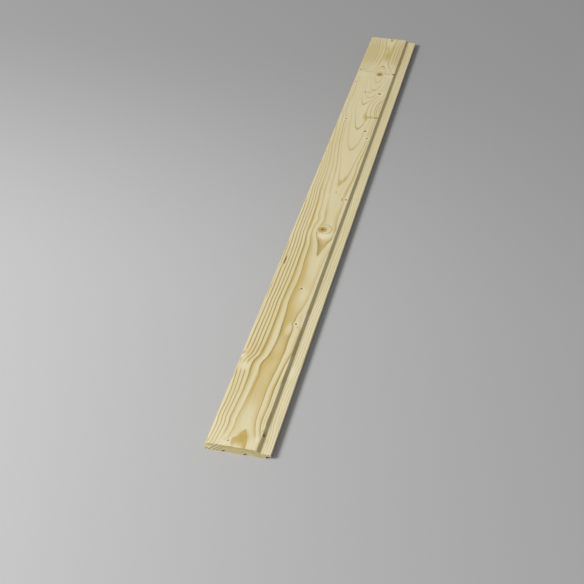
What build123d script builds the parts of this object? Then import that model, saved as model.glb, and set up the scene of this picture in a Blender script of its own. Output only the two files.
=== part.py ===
from build123d import *
import os

# A softwood wall and ceiling board, machined all along with a tongue on one edge and a
# groove on the other. It lies on its back: X runs across the board towards the tongue,
# Y along the grain and Z up out of the face. The origin is on the back, under the middle.
# All sizes are in millimetres.

# Stock size
length = 1250.0
thickness = 12.5
cover_width = 88.5
tongue_reach = 7.5

# Levels above the back, with play for the tongue above and below
groove_bottom = 4.2
groove_top = 8.5
tongue_bottom = 4.5
shelf_top = 8.3

# Distances from the edge of the lower lip
upper_lip_setback = 1.0
groove_depth = 9.2
left_arris = 3.8
right_arris = 75.8
right_bevel_foot = 80.0

# Two hollows along the back, which keep the board from cupping
relief_places = (28.0, 59.5)
relief_width = 7.2
relief_depth = 3.2

# Roundings that the cutters leave
arris_round = 0.5
lip_round = 0.35
tongue_round = 1.2
groove_round = 1.4
foot_round = 0.6

# Places across the board, from its middle
lip_edge = -(cover_width + tongue_reach) / 2
shoulder = lip_edge + cover_width
tongue_tip = shoulder + tongue_reach
upper_lip = lip_edge + upper_lip_setback
groove_floor = lip_edge + groove_depth
face_left = lip_edge + left_arris
face_right = lip_edge + right_arris
bevel_foot = lip_edge + right_bevel_foot


def sharp_section():
    """The section with every corner still sharp, clockwise from the back of the lip."""
    outline = Polyline(
        (lip_edge, 0),
        (lip_edge, groove_bottom),
        (groove_floor, groove_bottom),
        (groove_floor, groove_top),
        (upper_lip, groove_top),
        (face_left, thickness),
        (face_right, thickness),
        (bevel_foot, shelf_top),
        (tongue_tip, shelf_top),
        (tongue_tip, tongue_bottom),
        (shoulder, tongue_bottom),
        (shoulder, 0),
        close=True,
    )
    return make_face(outline)


def rounded(section, radius, *corners):
    """The section with a rounding of this radius at each of these corners."""
    for corner in corners:
        vertex = section.vertices().sort_by_distance(corner)[0]
        section = fillet(vertex, radius)
    return section


def relief(place):
    """The round bite of one hollow in the back, this far from the edge of the lower lip."""
    radius = (relief_width**2 / 4 + relief_depth**2) / (2 * relief_depth)
    return Pos(lip_edge + place, relief_depth - radius) * Circle(radius)


def board_section():
    """The finished section, x across the board and y up from its back."""
    section = sharp_section()
    section = rounded(section, arris_round, (face_left, thickness), (face_right, thickness))
    section = rounded(section, lip_round, (lip_edge, 0), (lip_edge, groove_bottom))
    section = rounded(section, lip_round, (upper_lip, groove_top), (shoulder, 0))
    section = rounded(section, tongue_round, (tongue_tip, shelf_top), (tongue_tip, tongue_bottom))
    section = rounded(section, groove_round, (groove_floor, groove_bottom), (groove_floor, groove_top))
    section = rounded(section, foot_round, (bevel_foot, shelf_top))
    for place in relief_places:
        section -= relief(place)
    return section


def profiled_board():
    """The whole board: one section, run along the grain and sawn square at both ends."""
    return extrude(Plane.XZ * board_section(), amount=length / 2, both=True)


os.makedirs("parts", exist_ok=True)
export_step(profiled_board(), "parts/profiled_board.step")
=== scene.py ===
import math

import bmesh
import bpy
from mathutils import Matrix, Vector


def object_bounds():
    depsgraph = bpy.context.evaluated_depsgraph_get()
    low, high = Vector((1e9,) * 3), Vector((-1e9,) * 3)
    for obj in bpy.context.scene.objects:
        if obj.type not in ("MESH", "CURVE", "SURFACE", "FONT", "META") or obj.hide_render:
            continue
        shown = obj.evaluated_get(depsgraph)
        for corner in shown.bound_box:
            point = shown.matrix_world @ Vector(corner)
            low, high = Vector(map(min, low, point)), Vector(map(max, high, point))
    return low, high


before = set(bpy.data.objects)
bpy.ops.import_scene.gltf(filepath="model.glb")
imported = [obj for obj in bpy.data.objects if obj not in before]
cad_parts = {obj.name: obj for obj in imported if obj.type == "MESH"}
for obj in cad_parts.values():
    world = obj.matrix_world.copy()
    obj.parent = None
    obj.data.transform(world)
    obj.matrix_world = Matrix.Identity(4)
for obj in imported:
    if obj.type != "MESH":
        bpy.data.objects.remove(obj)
cad_low, cad_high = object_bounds()

# How many millimetres make a metre, and the sizes of the planed board in them
MILLIMETRES = 1000
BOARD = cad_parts["profiled_board"]
WIDTH = (cad_high.x - cad_low.x) * MILLIMETRES
LENGTH = (cad_high.y - cad_low.y) * MILLIMETRES
THICKNESS = (cad_high.z - cad_low.z) * MILLIMETRES

# The camera, in millimetres from the middle of the board's back, and in degrees
PHOTO_SIDE = 584
FOCAL_PIXELS = 1290
CAMERA_PLACE = (377.35, -1840.48, 1279.99)
CAMERA_DOWN = 38.08
CAMERA_HEADING = -13.757
CAMERA_ROLL = 0.507
SENSOR_WIDTH = 36
# How far it sees, in metres
CAMERA_SIGHT = 50

# The lamp and the floor, in metres from the middle of the board's back
LAMP_FOOT = (-3.36, -2.44)
LAMP_HEIGHT = 2.98
LAMP_WIDTH = 1.85
LAMP_POWER = 282
ROOM_COLOUR = (1, 1, 1, 1)
ROOM_STRENGTH = 0.36
FLOOR_REACH = 12
FLOOR_GREY = 0.338
FLOOR_MOTTLE = 0.004
FLOOR_ROUGHNESS = 0.85
# Painted light on the floor: how much paler it is painted on the camera's side, how much of
# that it loses towards the right, and between which places each happens
FLOOR_PAINTED_LIGHT = 0.155
FLOOR_PAINTED_LIGHT_LOSS = 0.118
PAINTED_LIGHT_PLACES = (-0.35, 0.6)
PAINTED_LIGHT_LOSS_PLACES = (-0.6, 0.6)
# How the grey changes away from the lamp's foot, painted darker there as painted shade, and from
# the board, painted paler far out as painted light: from where, to where, and the factors there
PAINTED_SHADE_NEAR_LAMP = (0.8, 3.0, 0.25, 1)
PAINTED_LIGHT_FAR_OUT = (3.0, 8.0, 1, 1.9)

# How the log grew. Places across the board are measured from the edge of its lower lip,
# places along it from its near end, both in millimetres.
# Along the board: the line straight above the pith, where the rings stand highest
CREST = (
    (0, 49), (38, 50), (60, 48), (100, 48), (150, 50.5), (178, 51.7), (195, 53.7), (240, 54.8),
    (300, 54.9), (350, 57), (400, 59), (456, 59), (500, 59.4), (520, 59.2), (560, 57.2),
    (600, 56.2), (640, 53.2), (668, 50.5), (700, 50.7), (750, 49), (791, 47), (830, 46),
    (868, 45), (912, 44), (960, 38.5), (990, 43), (1021, 46), (1054, 47.5), (1090, 48),
    (1131, 48), (1175, 49.5), (1232, 47), (1250, 46.5),
)
# Along the board: how far the pith lies below the face
PITH_DEPTH = (
    (0, 45.2), (15, 45.6), (38, 46.5), (60, 47.05), (100, 47.9), (150, 48.55), (178, 48.15),
    (195, 48.65), (215, 49.0), (240, 49.25), (265, 49.1), (300, 48.75), (350, 47.5), (400, 47.6),
    (456, 46.5), (480, 46.2), (500, 45.5), (520, 44.5), (560, 45.0), (600, 44.6), (640, 44.2),
    (668, 44.0), (700, 43.2), (750, 41.9), (791, 40.05), (830, 38.35), (868, 36.85), (912, 35.3),
    (960, 34.8), (990, 32.6), (1021, 29.2), (1054, 26.85), (1080, 26.0), (1101, 39.5),
    (1131, 44.0), (1175, 44.7), (1205, 44.5), (1232, 44.0), (1250, 43.6),
)
# Along the board: how much closer than round the rings stand, towards the groove
GROOVE_CROWDING = (
    (0, 1.0), (20, 1.02), (60, 1.03), (100, 1.06), (120, 1.03), (150, 0.93), (178, 0.88),
    (195, 0.96), (215, 0.99), (240, 0.985), (265, 1.0), (300, 1.02), (350, 1.01), (400, 0.97),
    (450, 1.0), (520, 0.98), (560, 1.0), (600, 1.02), (620, 1.02), (640, 1.05), (700, 1.08),
    (760, 1.08), (830, 1.0), (1080, 1.0), (1131, 1.35), (1250, 1.3),
)
# Along the board: the same towards the tongue
TONGUE_CROWDING = (
    (0, 1.12), (20, 1.14), (30, 1.2), (38, 1.34), (50, 1.46), (60, 1.45), (100, 1.31),
    (150, 1.26), (180, 1.28), (215, 1.04), (240, 1.03), (265, 1.08), (290, 1.4), (305, 1.33),
    (322, 1.15), (350, 1.22), (450, 1.32), (472, 1.15), (500, 0.95), (520, 1.03), (545, 0.85),
    (600, 0.92), (640, 0.88), (668, 0.76), (700, 0.78), (750, 0.88), (830, 0.9), (868, 1.0),
    (1100, 1.0), (1131, 1.3), (1175, 1.6), (1232, 1.3), (1250, 1.25),
)
# The same out on the shelf, and where across the board that takes over
SHELF_CROWDING = 1.28
SHELF_RINGS = (73, 82)
# How far to the groove's side and the tongue's side of the crest the two tables meet
CREST_BLEND = (-4, 6)
# Each year's ring: its outer radius, how brown its summer wood is, and how far through the
# ring that begins and is full
RADIUS, BROWN, ONSET, FULL = range(4)
FIRST_RADIUS = 15.0
RINGS = (
    (17.5, 0.5, 0.5, 0.9), (20.0, 0.6, 0.4, 0.9), (22.3, 0.5, 0.5, 0.9), (24.6, 0.5, 0.5, 0.9),
    (26.85, 0.6, 0.6, 0.92), (29.2, 0.7, 0.65, 0.95), (32.6, 0.7, 0.7, 0.95),
    (34.8, 0.75, 0.6, 0.93), (36.85, 0.8, 0.62, 0.94), (40.05, 0.75, 0.66, 0.95),
    (44.0, 0.8, 0.68, 0.94), (46.5, 1.0, 0.3, 0.65), (50.2, 1.0, 0.1, 0.95),
    (54.8, 0.95, 0.28, 0.84), (58.2, 1.0, 0.5, 0.84), (61.3, 1.0, 0.5, 0.84),
    (64.8, 1.0, 0.5, 0.83), (68.9, 1.0, 0.52, 0.84), (72.3, 0.95, 0.52, 0.84),
    (75.8, 0.9, 0.52, 0.85), (80.0, 0.9, 0.52, 0.85), (83.6, 0.8, 0.45, 0.85),
    (87.5, 0.9, 0.45, 0.85), (91.0, 0.8, 0.45, 0.85), (95.0, 0.8, 0.5, 0.86),
)
# Places where the grain swells: across, along, reach across, reach along, years
SWELLS = (
    (36.5, 13, 7, 10, -0.34), (25, 6, 6, 12, -0.5), (41, 561, 9, 20, 0.4),
    (68.5, 78, 5, 48, -0.3),
)
# Along the board: how strongly the summer wood shows, towards the groove and the tongue
GROOVE_CONTRAST = (
    (0, 0.45), (25, 0.55), (60, 0.75), (120, 0.85), (160, 1.0), (200, 1.4), (300, 1.25),
    (420, 1.25), (500, 1.25), (600, 1.1), (680, 0.6), (740, 0.45), (1000, 0.45), (1080, 0.45),
    (1110, 0.6), (1160, 0.6), (1250, 0.5),
)
TONGUE_CONTRAST = (
    (0, 0.7), (25, 0.85), (140, 1.0), (300, 0.85), (330, 0.45), (440, 0.35), (475, 0.6),
    (520, 0.85), (620, 0.6), (800, 0.6), (1080, 0.6), (1110, 0.65), (1250, 0.45),
)
# How strongly it shows on the shelf and on the sawn ends, and how much less on the bevel
SHELF_CONTRAST = 0.38
SAWN_CONTRAST = 1.4
BEVEL_FADE = 0.65
# Soft patches where the grain shows more or less: across, along, reaches, and the change
GRAIN_STRENGTH = (
    (68.5, 88, 4.5, 62, 0.9), (17, 208, 12, 30, 1.4), (30, 230, 7, 50, 0.2),
    (72.8, 95, 3, 90, -0.95), (38, 552, 9, 38, -0.5), (38, 618, 9, 50, -0.45),
    (48, 585, 9, 75, -0.55), (68, 622, 6, 26, -0.6), (60, 962, 17, 48, 2.7),
    (46, 802, 13, 34, 0.15), (44, 890, 17, 40, 1.3), (48, 1124, 9, 13, 1.6),
    (30, 1118, 12, 22, -0.6), (64, 1112, 10, 20, -0.5), (66, 1180, 9, 60, 0.6),
    (24, 14, 7, 16, -0.6), (66, 12, 6, 22, -0.6), (40, 965, 10, 30, 0.4), (-1, 420, 6, 130, -0.9),
    (0, 640, 6, 90, -0.8), (0, 205, 6, 60, -0.6), (73, 292, 5, 36, -0.9), (62, 1035, 16, 40, 1.0),
    (68, 565, 7, 52, -0.55), (63, 523, 15, 15, -0.75), (12, 168, 11, 12, -0.85),
    (28, 570, 4, 60, 0.9), (18, 440, 14, 60, -0.15), (12, 560, 12, 60, 0.25),
    (48, 1235, 10, 16, 0.8), (60, 490, 9, 24, -0.3), (48, 512, 7, 14, -0.4),
    (20, 850, 20, 110, 0.3), (40, 665, 8, 60, -0.5), (52, 690, 8, 20, -0.25),
)
# Along the board: how much later in each ring the summer wood begins
LATENESS = (
    (0, 0), (480, 0), (530, 0.4), (640, 0.45), (760, 0.4), (880, 0.4), (1000, 0.4), (1080, 0.4),
    (1100, 0.6), (1130, 0.8), (1150, 0.3), (1215, 0.3), (1232, 0.6), (1250, 0.5),
)
# How far through a ring its dark edge may start, how softly it comes and how soon it is
# full, and where the ring ends in the next spring's pale wood
EDGE_START = 0.82
EDGE_SOFTNESS = 0.2
EDGE_FULL = 0.03
RING_END = (0.96, 1.0)

# Waves in the wood: their width and length in millimetres, and how much detail they have
DRIFT = (16, 90, 3.0)
RIPPLE = (5, 30, 2.0)
CLOUD = (25, 120, 3.0)
WOBBLE = (2.5, 2.5, 2.0)
FIBRE = (0.5, 25, 3.0)
STREAK = (1.6, 120, 3.0)
# How far drift and ripple move the rings, and wobble the knots, in millimetres
DRIFT_MOVE = 1.6
RIPPLE_MOVE = 0.7
WOBBLE_ACROSS = 1.6
WOBBLE_ALONG = 2.2
# How unlike the rings of two years are, and over what length and width one changes
FLECK_CHANGE = 3.7
FLECK_LENGTH = 130
FLECK_STRENGTH = 0.7
WARMTH_CHANGE = 5.3
WARMTH_LENGTH = 60
WARMTH_WIDTH = 12
WARMTH_RANGE = (-0.05, 0.2)
WARMTH_STRENGTH = 0.35

# Knots: across, along, half their size across and along, how dark their hearts are, and how
# pale the wood round them is. A large knot darker than 1 is filled out to its bark.
LARGE_KNOTS = ((51.3, 534.5, 8.4, 8.6, 1.0, 0.9), (47.8, 1091, 6.8, 7.9, 1.04, 0.5))
# How dark a large knot is from its heart to its bark, where 1 is its edge
KNOT_RINGS = (
    (0, 0.95), (0.3, 0.85), (0.44, 0.5), (0.54, 0.12), (0.64, 0.28), (0.72, 0.04), (0.84, 0.18),
    (0.94, 0.45), (1.03, 0.0), (1.12, 0.0), (4.0, 0.0),
)
PIN_KNOTS = (
    (65.5, 279, 2.3, 2.5, 0.8, 1.0), (53.5, 367.5, 2.0, 2.4, 1.0, 0.5),
    (50.2, 365.5, 1.5, 1.8, 0.5, 0), (72, 631.5, 2.4, 3.0, 0.75, 0.6),
    (69, 841.5, 2.8, 2.3, 0.85, 0.9), (60.5, 866.5, 2.9, 2.5, 1.1, 0.5),
    (16.5, 905, 2.8, 2.2, 0.8, 1.0), (72, 919, 4.6, 3.2, 0.65, 0.3),
    (62, 1012.5, 3.6, 3.9, 0.8, 0.7), (32, 1014, 2.4, 4, 0.4, 0.2), (6, 1052, 2.4, 2.6, 0.5, 0.2),
    (85, 1007, 2.4, 2.2, 0.7, 0.4), (6, 1103.5, 2.6, 3, 0.65, 0.4),
    (75.5, 1096.5, 3.8, 2.8, 1.0, 0.3), (32, 11, 1.9, 1.9, 0.75, 0.7),
    (79, 33, 2.9, 3.6, 1.1, 0.0), (69, 272, 1.4, 1.6, 0.5, 0.2), (1.5, 198, 4, 5, 0.5, 0.6),
    (60.6, 278, 1.1, 3, 0.5, 0),
)
# How far from a knot's middle its heart and its halo fade, where 1 is its edge
PIN_CORE = (0.7, 1.15)
PIN_HALO = (1.5, 2.7)
LARGE_CORE = (0.93, 1.04)
LARGE_HALO = (1.0, 1.7)
LARGE_FILL = (0.8, 1.05)
PIN_HALO_STRENGTH = 0.8
LARGE_HALO_STRENGTH = 0.7
LARGE_WOBBLE = 0.3
# How far the rings bend round a large knot, and over how many of its lengths
KNOT_BEND = 0.6
KNOT_BEND_LENGTH = 2.2
# How far from its middle a soft patch begins to fade and is gone, where 1 is its reach
PATCH_FADE = (0.25, 1.25)
# Soft patches of resin-stained wood: across, along, reach across and along, and how much
TAN_PATCHES = (
    (54, 911, 4, 9, 0.6), (49, 925, 3.4, 13, 0.5), (51.5, 918, 3.6, 9, 0.4),
    (63, 919, 13, 5.5, 0.8), (47.8, 1099, 8, 8, 0.45), (65.5, 631, 2.6, 7, 1.0),
    (50.5, 651, 2.2, 5, 0.6), (60.5, 278, 1.6, 5, 0.6), (48, 1026, 5, 6, 0.4),
    (49.5, 1172, 7, 30, 0.65), (8, 199, 4, 6, 0.6), (40, 1014, 7, 5, 0.4), (67, 575, 4, 34, 0.2),
    (45, 1205, 6, 14, 0.35), (55.5, 1206, 3.5, 18, 0.4), (25, 1100, 16, 4, 0.2),
    (66, 1096, 14, 1.8, 0.9), (57, 542, 8, 4, 0.3), (50, 20, 10, 17, 1.0), (40, 15, 5, 7, 0.5),
    (69, 841, 5, 6, 0.3), (60, 866, 5, 5, 0.25), (18, 905, 5, 6, 0.2), (28, 552, 2.3, 36, 1.1),
    (25.6, 608, 2.0, 28, 0.7), (22.8, 652, 1.8, 26, 0.35), (49.5, 678, 3, 14, 0.45),
    (56.5, 696, 2.2, 12, 0.6), (62, 1012, 6, 6, 0.3), (10, 1107, 6, 5, 0.4), (86, 24, 4, 6, 0.25),
    (45, 330, 4, 70, 0.2), (48, 112, 9, 34, 0.3), (28.8, 205, 2, 20, 0.45),
    (30.4, 232, 2, 22, 0.45), (38, 130, 4, 50, 0.6), (46, 215, 3, 50, 0.15),
    (40, 400, 60, 120, 0.08), (12, 1180, 34, 70, 0.32), (70, 1190, 26, 70, 0.3),
    (10, 760, 30, 150, 0.08), (86, 1000, 16, 200, 0.04),
)
# Soft patches of warmer brown, in the same way
WARM_PATCHES = (
    (42.5, 14, 4, 8, 0.45), (56, 12, 2.4, 14, 0.45), (50.5, 30, 3.5, 7, 0.35),
    (62, 488, 7, 24, 0.3), (28, 560, 2.6, 34, 0.25), (50, 680, 4, 14, 0.3),
    (16, 205, 10, 26, 0.25), (45, 330, 4, 90, 0.15), (45, 1205, 3, 5, 0.6), (54, 1206, 3, 5, 0.5),
    (47.8, 1091, 9, 10, 0.3), (72, 35, 3, 6, 0.4), (52, 918, 3, 8, 0.2),
)
# Soft patches of paler wood, in the same way
PALE_PATCHES = (
    (57, 265, 6, 18, 0.6), (60, 353, 8, 20, 0.35), (13, 168, 8, 12, 0.65), (7, 187, 6, 8, 0.6),
    (57, 518, 13, 10, 1.0), (65.5, 279, 4.5, 5, 0.8), (72, 631.5, 3.8, 5, 0.7),
    (72, 20, 3.5, 7, 0.5), (88, 172, 6, 20, 0.6), (30, 4, 5, 6, 0.5), (12, 1085, 8, 12, 0.4),
    (24, 4, 7, 9, 0.5), (52, 224, 8, 32, 0.28), (66, 8, 4, 22, 0.5), (68, 1085, 8, 10, 0.3),
    (43.5, 1, 5, 8, 0.6), (50, 6, 2.4, 12, 0.4), (60, 425, 10, 40, 0.3), (74, 1106, 3, 5, 0.4),
)
# Lines of grain that close round a knot: across, along, reaches, and how dark
EYE_LINES = ((55, 536, 12, 13, 0.55), (52, 534.5, 10.2, 10.6, 0.4), (48, 1100, 9.5, 16, 0.35))
EYE_LINE_FADE = (0.02, 0.12)
# The resin pocket: across, along, half its width and half its length
RESIN_POCKET = (10.4, 437, 1.0, 13.5)
POCKET_FADE = (0.7, 1.05)

# Where the surfaces of the section lie, across the board: from where and to where each
# change happens
LEFT_BEVEL_END = (3.4, 4.2)
BEVEL_TOP = (75.2, 76)
BEVEL_FOOT = (79.8, 80.8)
SHELF = (76, 82)
# The corner at the right bevel's foot, where painted shade lies: where it begins and ends
CORNER_START = (76.5, 79.5)
CORNER_END = (80, 81)
# How near an end the sawn surface begins and is full, in millimetres
SAWN_START = 0.06
SAWN_FULL = 0.02
# The browner middle of a sawn end: its place across, its reach, and how much
SAWN_MIDDLE = 45
SAWN_MIDDLE_REACH = (12, 30)
SAWN_MIDDLE_BROWN = 0.35
# How much of a sawn end's colour is sawdust, and how dark its summer wood and edges show
SAWN_DUST = 0.6
SAWN_SUMMER = 0.45
SAWN_EDGE = 0.5
# Paler wood near the end and along the shelf: from where, to where, and the amounts there
PALER_FACE = (0, 170, 0.45, 0)
PALER_SHELF = (80, 1000, 0.6, 0)
# How strongly the dark edges and the clouds show, and how much cloud lies all over
EDGE_STRENGTH = 0.8
CLOUD_STRENGTH = 0.5
CLOUD_BASE = 0.1
# How much the planed surface is darkened by its fibres and streaks, which show more on the
# shelf; by painted shade on both bevels and in the corner at the right bevel's foot; and all over
FIBRE_STRENGTH = 0.4
STREAK_STRENGTH = 0.45
SHELF_STREAK = 0.7
BEVEL_PAINTED_SHADE = 0.08
LEFT_BEVEL_PAINTED_SHADE = 0.32
CORNER_PAINTED_SHADE = 0.3
SHADE_BASE = 0.06
# How rough and how glossy it is, and how that changes with summer wood and fibres
ROUGHNESS = 0.6
SUMMER_SMOOTHNESS = 0.08
FIBRE_ROUGHNESS = 0.2
SHINE = 0.25
# How high the fibres stand and how deep the resin pocket lies, in millimetres
FIBRE_HEIGHT = 0.06
POCKET_DEPTH = 0.3

# Colours of the wood
SPRING_WOOD = (0.705, 0.635, 0.405, 1)
SUMMER_WOOD = (0.57, 0.435, 0.155, 1)
LATE_EDGE = (0.315, 0.225, 0.08, 1)
PALE_WOOD = (0.76, 0.71, 0.5, 1)
TAN_WOOD = (0.5, 0.365, 0.1, 1)
KNOT_RIM = (0.55, 0.405, 0.15, 1)
KNOT_HEART = (0.245, 0.13, 0.012, 1)
PIN_HEART = (0.235, 0.14, 0.006, 1)
RESIN = (0.22, 0.07, 0.012, 1)
WARM_WOOD = (0.6, 0.395, 0.145, 1)
SAWN_WOOD = (0.6, 0.53, 0.31, 1)
# The colour of the fibres and streaks, also used for the painted shade on the bevels and in the
# corner at the right bevel's foot
FIBRE_AND_PAINTED_SHADE = (0.47, 0.36, 0.15, 1)

# Which sockets of a colour mix take the amount and the two colours, and which gives the result
MIX_AMOUNT, MIX_FIRST, MIX_SECOND, MIX_RESULT = 0, 6, 7, 2


class Number:
    """A number that a material works out at each point, so that a formula reads as one."""

    def __init__(self, tree, socket):
        self.tree = tree
        self.socket = socket

    def __add__(self, other):
        return formula(self.tree, "ADD", self, other)

    def __sub__(self, other):
        return formula(self.tree, "SUBTRACT", self, other)

    def __rsub__(self, other):
        return formula(self.tree, "SUBTRACT", other, self)

    def __mul__(self, other):
        return formula(self.tree, "MULTIPLY", self, other)

    def __truediv__(self, other):
        return formula(self.tree, "DIVIDE", self, other)

    __radd__ = __add__
    __rmul__ = __mul__


def feed(tree, port, value):
    """Gives an input a number, a colour, or another node's result."""
    if isinstance(value, Number):
        tree.links.new(value.socket, port)
    elif isinstance(value, bpy.types.NodeSocket):
        tree.links.new(value, port)
    else:
        port.default_value = value


def formula(tree, operation, *values):
    """One step of arithmetic."""
    node = tree.nodes.new("ShaderNodeMath")
    node.operation = operation
    for port, value in zip(node.inputs, values):
        feed(tree, port, value)
    return Number(tree, node.outputs[0])


def larger(first, second):
    return formula(first.tree, "MAXIMUM", first, second)


def size_of(number):
    return formula(number.tree, "ABSOLUTE", number)


def step(value, low, high, before=0.0, after=1.0):
    """Goes softly from before to after as the value goes from low to high."""
    node = value.tree.nodes.new("ShaderNodeMapRange")
    node.interpolation_type = "SMOOTHSTEP"
    for port, setting in zip(node.inputs, (value, low, high, before, after)):
        feed(value.tree, port, setting)
    return Number(value.tree, node.outputs[0])


def curve(value, points, handle="AUTO"):
    """Reads a curve drawn through (place, height) points, which runs level past its ends."""
    tree = value.tree
    places = [place for place, height in points]
    heights = [height for place, height in points]
    start, reach = min(places), max(places) - min(places)
    floor, rise = min(heights), max(heights) - min(heights)
    node = tree.nodes.new("ShaderNodeFloatCurve")
    line = node.mapping.curves[0]
    while len(line.points) < len(points):
        line.points.new(0.5, 0.5)
    for knob, (place, height) in zip(line.points, points):
        knob.location = ((place - start) / reach, (height - floor) / rise)
        knob.handle_type = handle
    node.mapping.update()
    share = (value - start) / reach
    share.socket.node.use_clamp = True
    feed(tree, node.inputs["Value"], share)
    return Number(tree, node.outputs[0]) * rise + floor


def vector(tree, *parts):
    node = tree.nodes.new("ShaderNodeCombineXYZ")
    for port, part in zip(node.inputs, parts):
        feed(tree, port, part)
    return node.outputs[0]


def parts_of(tree, place):
    node = tree.nodes.new("ShaderNodeSeparateXYZ")
    feed(tree, node.inputs[0], place)
    return [Number(tree, port) for port in node.outputs]


def noise(tree, place, detail):
    """Soft noise between about -0.5 and 0.5, with one bump for each unit of the place."""
    node = tree.nodes.new("ShaderNodeTexNoise")
    feed(tree, node.inputs["Vector"], place)
    feed(tree, node.inputs["Scale"], 1.0)
    feed(tree, node.inputs["Detail"], detail)
    feed(tree, node.inputs["Roughness"], 0.5)
    return Number(tree, node.outputs[0]) - 0.5


def waves(across, along, up, kind):
    """Soft noise through the wood, in waves that run along the grain."""
    tree = across.tree
    width, length, detail = kind
    place = vector(tree, across / width, along / length, up / width)
    return noise(tree, place, detail)


def blend(tree, amount, first, second):
    """Mixes two colours, from all of the first at 0 to all of the second at 1."""
    node = tree.nodes.new("ShaderNodeMix")
    node.data_type = "RGBA"
    feed(tree, node.inputs[MIX_AMOUNT], amount)
    feed(tree, node.inputs[MIX_FIRST], first)
    feed(tree, node.inputs[MIX_SECOND], second)
    return node.outputs[MIX_RESULT]


def distance(tree, spot, across, along, reach_across, reach_along):
    """How far a spot is from a centre, as a share of the reach each way."""
    place = tree.nodes.new("ShaderNodeVectorMath")
    place.operation = "MULTIPLY_ADD"
    feed(tree, place.inputs[0], spot)
    place.inputs[1].default_value = (1 / reach_across, 1 / reach_along, 0)
    place.inputs[2].default_value = (-across / reach_across, -along / reach_along, 0)
    reach = tree.nodes.new("ShaderNodeVectorMath")
    reach.operation = "LENGTH"
    feed(tree, reach.inputs[0], place.outputs[0])
    return Number(tree, reach.outputs["Value"])


def patches(tree, spot, places):
    """Soft oval patches: each is full at its centre and gone past its reach."""
    total = 0
    for across, along, reach_across, reach_along, amount in places:
        away = distance(tree, spot, across, along, reach_across, reach_along)
        total = step(away, *PATCH_FADE, amount, 0) + total
    return total


def new_material(name):
    material = bpy.data.materials.new(name)
    material.use_nodes = True
    tree = material.node_tree
    return material, tree, tree.nodes["Principled BSDF"]


def board_place(tree):
    """Places across from the lower lip, along from the near end and up from the back."""
    spot = tree.nodes.new("ShaderNodeTexCoord").outputs["Object"]
    across, along, up = [part * MILLIMETRES for part in parts_of(tree, spot)]
    return across + WIDTH / 2, along + LENGTH / 2, up


def growth_rings(tree, across, along, up):
    """Counts the years outwards from the pith, so the whole numbers are the rings' edges.
    Also gives the spot on the face that a branch through this point comes out at."""
    crest = curve(along, CREST)
    depth = curve(along, PITH_DEPTH)
    rise = up - THICKNESS + depth
    face_across = (across - crest) * (depth / rise) + crest
    spot = vector(tree, face_across, along, 0)

    drift = waves(across, along, up, DRIFT)
    ripple = waves(across, along, up, RIPPLE)
    aside = across - crest + drift * DRIFT_MOVE + ripple * RIPPLE_MOVE
    for knot_across, knot_along, half_width, half_length, dark, pale in LARGE_KNOTS:
        bend_length = half_length * KNOT_BEND_LENGTH
        away = larger(distance(tree, spot, knot_across, knot_along, half_width, bend_length), 1.0)
        aside = aside - (face_across - knot_across) * KNOT_BEND / (away * away * away)
    towards_tongue = step(aside, *CREST_BLEND)
    groove_side = curve(along, GROOVE_CROWDING)
    tongue_side = curve(along, TONGUE_CROWDING)
    tongue_side = tongue_side + step(across, *SHELF_RINGS) * (SHELF_CROWDING - tongue_side)
    aside = aside * (groove_side + towards_tongue * (tongue_side - groove_side))
    radius = formula(tree, "SQRT", aside * aside + rise * rise)
    edges = [(FIRST_RADIUS, 0)] + [(ring[RADIUS], year + 1) for year, ring in enumerate(RINGS)]
    years = curve(radius, edges, "VECTOR") + patches(tree, spot, SWELLS)
    return years, spot, towards_tongue


def of_each_ring(year, column):
    """Looks up what the table of rings says of this year."""
    points = [(number, ring[column]) for number, ring in enumerate(RINGS)]
    return curve(year, points, "VECTOR")


def surfaces(across, along):
    """How much of each point is on the shelf, on the right bevel and on a sawn end."""
    on_shelf = step(across, *SHELF)
    on_bevel = step(across, *BEVEL_TOP) - step(across, *BEVEL_FOOT)
    from_middle = size_of(along - LENGTH / 2)
    sawn = step(from_middle, LENGTH / 2 - SAWN_START, LENGTH / 2 - SAWN_FULL)
    return on_shelf, on_bevel, sawn


def grain_contrast(tree, spot, along, towards_tongue, on_shelf, sawn):
    """How strongly the summer wood shows at each point."""
    groove_side, tongue_side = curve(along, GROOVE_CONTRAST), curve(along, TONGUE_CONTRAST)
    contrast = groove_side + towards_tongue * (tongue_side - groove_side)
    contrast = contrast * (patches(tree, spot, GRAIN_STRENGTH) + 1)
    contrast = contrast + on_shelf * (SHELF_CONTRAST - contrast)
    return contrast + sawn * (SAWN_CONTRAST - contrast)


def seasons(tree, years, along, contrast, on_bevel, sawn):
    """Splits each year's ring into its summer wood and the dark edge that ends it."""
    year = formula(tree, "FLOOR", years)
    season = years - year
    onset, full = of_each_ring(year, ONSET), of_each_ring(year, FULL)
    lateness = curve(along, LATENESS)
    onset = onset + (full - onset) * lateness
    fleck = noise(tree, vector(tree, year * FLECK_CHANGE, along / FLECK_LENGTH, 0), 1.0)
    brown = of_each_ring(year, BROWN) * contrast * (1 + fleck * FLECK_STRENGTH)
    brown = brown * (1 - on_bevel * BEVEL_FADE * (1 - sawn))
    winter = step(season, *RING_END, 1, 0)
    summer = step(season, onset, full) * winter * brown
    edge = larger(full, EDGE_START)
    edge_begins = edge - (1 - lateness) * EDGE_SOFTNESS
    late = step(season, edge_begins, edge + EDGE_FULL) * winter * brown
    return year, summer, late


def knots(tree, spot, places, core, halo):
    """How much of each point is the heart of a knot, and how much is the pale wood round it."""
    hearts = pale = 0
    for across, along, half_width, half_length, dark, light in places:
        away = distance(tree, spot, across, along, half_width, half_length)
        hearts = larger(step(away, *core, dark, 0), hearts)
        pale = larger(step(away, *halo, light, 0), pale)
    return hearts, pale


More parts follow.
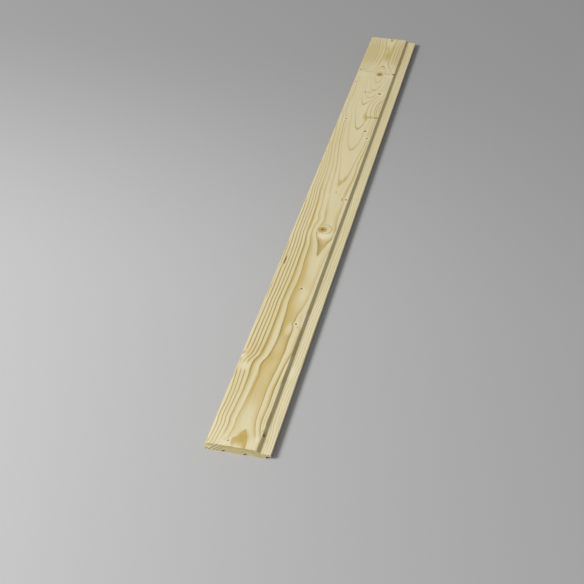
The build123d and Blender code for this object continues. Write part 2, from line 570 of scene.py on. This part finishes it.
def with_knots(tree, colour, spot, wobble):
    """Sets the knots, the lines that close round them and the resin pocket into the wood."""
    across, along, _ = parts_of(tree, spot)
    spot = vector(tree, across + wobble * WOBBLE_ACROSS, along - wobble * WOBBLE_ALONG, 0)
    hearts, pale = knots(tree, spot, PIN_KNOTS, PIN_CORE, PIN_HALO)
    colour = blend(tree, pale * PIN_HALO_STRENGTH, colour, PALE_WOOD)
    colour = blend(tree, hearts, colour, PIN_HEART)
    for line_across, line_along, reach_across, reach_along, dark in EYE_LINES:
        away = distance(tree, spot, line_across, line_along, reach_across, reach_along)
        colour = blend(tree, step(size_of(away - 1), *EYE_LINE_FADE, dark, 0), colour, LATE_EDGE)
    hearts, pale = knots(tree, spot, LARGE_KNOTS, LARGE_CORE, LARGE_HALO)
    colour = blend(tree, pale * LARGE_HALO_STRENGTH, colour, PALE_WOOD)
    colour = blend(tree, hearts, colour, KNOT_RIM)
    for knot_across, knot_along, half_width, half_length, dark, pale in LARGE_KNOTS:
        away = distance(tree, spot, knot_across, knot_along, half_width, half_length)
        filled = step(away, *LARGE_FILL, dark - 1, 0)
        ringed = curve(away * (1 + wobble * LARGE_WOBBLE), KNOT_RINGS)
        colour = blend(tree, ringed + filled, colour, KNOT_HEART)
    pocket = step(distance(tree, spot, *RESIN_POCKET), *POCKET_FADE, 1, 0)
    return blend(tree, pocket, colour, RESIN), pocket


def with_sawn_ends(tree, colour, across, sawn, summer, late):
    """Gives the sawn ends their dusty colour, with dark rings and a brown middle."""
    colour = blend(tree, sawn * SAWN_DUST, colour, SAWN_WOOD)
    off_middle = size_of(across - SAWN_MIDDLE)
    middle = step(off_middle, *SAWN_MIDDLE_REACH, SAWN_MIDDLE_BROWN, 0)
    colour = blend(tree, sawn * middle, colour, TAN_WOOD)
    return blend(tree, sawn * (summer * SAWN_SUMMER + late * SAWN_EDGE), colour, LATE_EDGE)


def spruce():
    material, tree, shader = new_material("planed_spruce")
    across, along, up = board_place(tree)
    years, spot, towards_tongue = growth_rings(tree, across, along, up)
    on_shelf, on_bevel, sawn = surfaces(across, along)
    contrast = grain_contrast(tree, spot, along, towards_tongue, on_shelf, sawn)
    year, summer, late = seasons(tree, years, along, contrast, on_bevel, sawn)

    paler_near_end = step(along, *PALER_FACE) + on_shelf * step(along, *PALER_SHELF)
    spring = blend(tree, paler_near_end, SPRING_WOOD, PALE_WOOD)
    colour = blend(tree, summer, spring, SUMMER_WOOD)
    colour = blend(tree, late * EDGE_STRENGTH, colour, LATE_EDGE)
    place = vector(tree, year * WARMTH_CHANGE, along / WARMTH_LENGTH, across / WARMTH_WIDTH)
    warmth = step(noise(tree, place, 2.0), *WARMTH_RANGE)
    colour = blend(tree, summer * warmth * WARMTH_STRENGTH, colour, WARM_WOOD)
    cloud = waves(across, along, up, CLOUD) * CLOUD_STRENGTH + CLOUD_BASE
    colour = blend(tree, cloud, colour, SUMMER_WOOD)
    colour = blend(tree, patches(tree, spot, PALE_PATCHES), colour, PALE_WOOD)
    colour = blend(tree, patches(tree, spot, TAN_PATCHES), colour, TAN_WOOD)
    colour = blend(tree, patches(tree, spot, WARM_PATCHES), colour, WARM_WOOD)
    colour, pocket = with_knots(tree, colour, spot, waves(across, along, up, WOBBLE))
    colour = with_sawn_ends(tree, colour, across, sawn, summer, late)

    fibre = waves(across, along, up, FIBRE)
    streak = waves(across, along, up, STREAK) * (on_shelf * SHELF_STREAK + STREAK_STRENGTH)
    # Painted shade: the right bevel, the corner at its foot and the left bevel are darkened in
    # colour, besides the real fibres and streaks
    on_left_bevel = step(across, *LEFT_BEVEL_END, 1, 0)
    in_corner = step(across, *CORNER_START) - step(across, *CORNER_END)
    fibre_and_painted_shade = fibre * FIBRE_STRENGTH + streak + on_bevel * BEVEL_PAINTED_SHADE + in_corner * CORNER_PAINTED_SHADE
    fibre_and_painted_shade = fibre_and_painted_shade + on_left_bevel * LEFT_BEVEL_PAINTED_SHADE + SHADE_BASE
    colour = blend(tree, fibre_and_painted_shade, colour, FIBRE_AND_PAINTED_SHADE)
    roughness = ROUGHNESS - summer * SUMMER_SMOOTHNESS + fibre * FIBRE_ROUGHNESS
    feed(tree, shader.inputs["Base Color"], colour)
    feed(tree, shader.inputs["Roughness"], roughness)
    shader.inputs["Specular IOR Level"].default_value = SHINE

    bump = tree.nodes.new("ShaderNodeBump")
    bump.inputs["Distance"].default_value = 1 / MILLIMETRES
    bump.inputs["Strength"].default_value = 1.0
    feed(tree, bump.inputs["Height"], fibre * FIBRE_HEIGHT - pocket * POCKET_DEPTH)
    feed(tree, shader.inputs["Normal"], bump.outputs[0])
    return material


def floor_paint():
    material, tree, shader = new_material("studio_floor")
    spot = tree.nodes.new("ShaderNodeTexCoord").outputs["Object"]
    across, along, _ = parts_of(tree, spot)
    # Painted light: the floor is painted paler on the camera's side, and less so towards the
    # right
    painted_light = FLOOR_PAINTED_LIGHT - step(across, *PAINTED_LIGHT_LOSS_PLACES) * FLOOR_PAINTED_LIGHT_LOSS
    mottle = noise(tree, spot, 2.0) * FLOOR_MOTTLE
    grey = step(along, *PAINTED_LIGHT_PLACES, 1, 0) * painted_light + FLOOR_GREY + mottle
    # Painted shade near the lamp's foot, and painted light far from the board
    grey = grey * step(distance(tree, spot, *LAMP_FOOT, 1, 1), *PAINTED_SHADE_NEAR_LAMP)
    grey = grey * step(distance(tree, spot, 0, 0, 1, 1), *PAINTED_LIGHT_FAR_OUT)
    feed(tree, shader.inputs["Base Color"], vector(tree, grey, grey, grey))
    shader.inputs["Roughness"].default_value = FLOOR_ROUGHNESS
    return material


def make_floor():
    shape = bmesh.new()
    bmesh.ops.create_grid(shape, x_segments=1, y_segments=1, size=FLOOR_REACH)
    mesh = bpy.data.meshes.new("floor")
    shape.to_mesh(mesh)
    shape.free()
    mesh.materials.append(floor_paint())
    floor = bpy.data.objects.new("floor", mesh)
    bpy.context.collection.objects.link(floor)


def light_studio():
    """One large soft lamp, aimed at the board, in an evenly lit room."""
    world = bpy.data.worlds.new("studio")
    bpy.context.scene.world = world
    world.use_nodes = True
    background = world.node_tree.nodes["Background"]
    background.inputs["Color"].default_value = ROOM_COLOUR
    background.inputs["Strength"].default_value = ROOM_STRENGTH
    lamp = bpy.data.lights.new("key", "AREA")
    lamp.shape = "DISK"
    lamp.size = LAMP_WIDTH
    lamp.energy = LAMP_POWER
    holder = bpy.data.objects.new("key", lamp)
    bpy.context.collection.objects.link(holder)
    holder.location = (*LAMP_FOOT, LAMP_HEIGHT)
    holder.rotation_mode = "QUATERNION"
    holder.rotation_quaternion = (-holder.location).to_track_quat("-Z", "Y")
    holder.visible_camera = False


def make_camera():
    data = bpy.data.cameras.new("camera")
    data.sensor_width = SENSOR_WIDTH
    data.lens = FOCAL_PIXELS / PHOTO_SIDE * SENSOR_WIDTH
    data.clip_end = CAMERA_SIGHT
    camera = bpy.data.objects.new("camera", data)
    bpy.context.collection.objects.link(camera)
    place = Matrix.Translation(Vector(CAMERA_PLACE) / MILLIMETRES)
    heading = Matrix.Rotation(math.radians(-CAMERA_HEADING), 4, "Z")
    tilt = Matrix.Rotation(math.radians(90 - CAMERA_DOWN), 4, "X")
    roll = Matrix.Rotation(math.radians(-CAMERA_ROLL), 4, "Z")
    camera.matrix_world = place @ heading @ tilt @ roll
    bpy.context.scene.camera = camera


make_camera()
make_floor()
light_studio()
BOARD.data.materials.clear()
BOARD.data.materials.append(spruce())
bpy.context.scene.view_settings.view_transform = "Standard"
